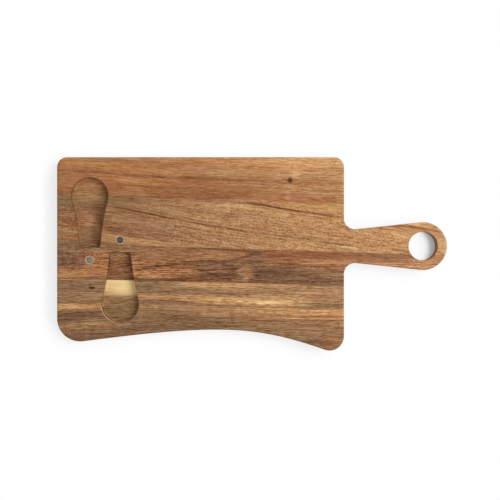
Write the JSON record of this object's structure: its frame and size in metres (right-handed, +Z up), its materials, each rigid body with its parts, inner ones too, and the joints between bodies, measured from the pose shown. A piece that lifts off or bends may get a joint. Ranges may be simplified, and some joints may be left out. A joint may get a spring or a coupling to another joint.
{
  "type": "cheese board",
  "caption": "Wooden cheese board with a paddle handle and hanging hole, pear-shaped recesses that hold cheese knives by the handle, and flush disc magnets that hold the blades.",
  "frame": {"origin": "centre of the board's footprint, on the flat underside", "axes": "+X runs along the board to the handle's tip, +Y to the straight back edge, +Z up out of the face with the knife rests"},
  "size_m": [0.39, 0.1934, 0.015],
  "materials": {
    "back_stave_wood": "golden tan acacia, fine sanded and lightly oiled",
    "middle_stave_wood": "reddish brown acacia heartwood with dark figure, fine sanded and lightly oiled",
    "front_stave_wood": "banded brown acacia with a sapwood streak, fine sanded and lightly oiled",
    "magnet_plating": "nickel plated, dulled grey"
  },
  "bodies": {
    "root": {"back_stave": "back_stave_wood", "middle_stave": "middle_stave_wood", "front_stave": "front_stave_wood", "left_magnet": "magnet_plating", "right_magnet": "magnet_plating"}
  },
  "joints": []
}
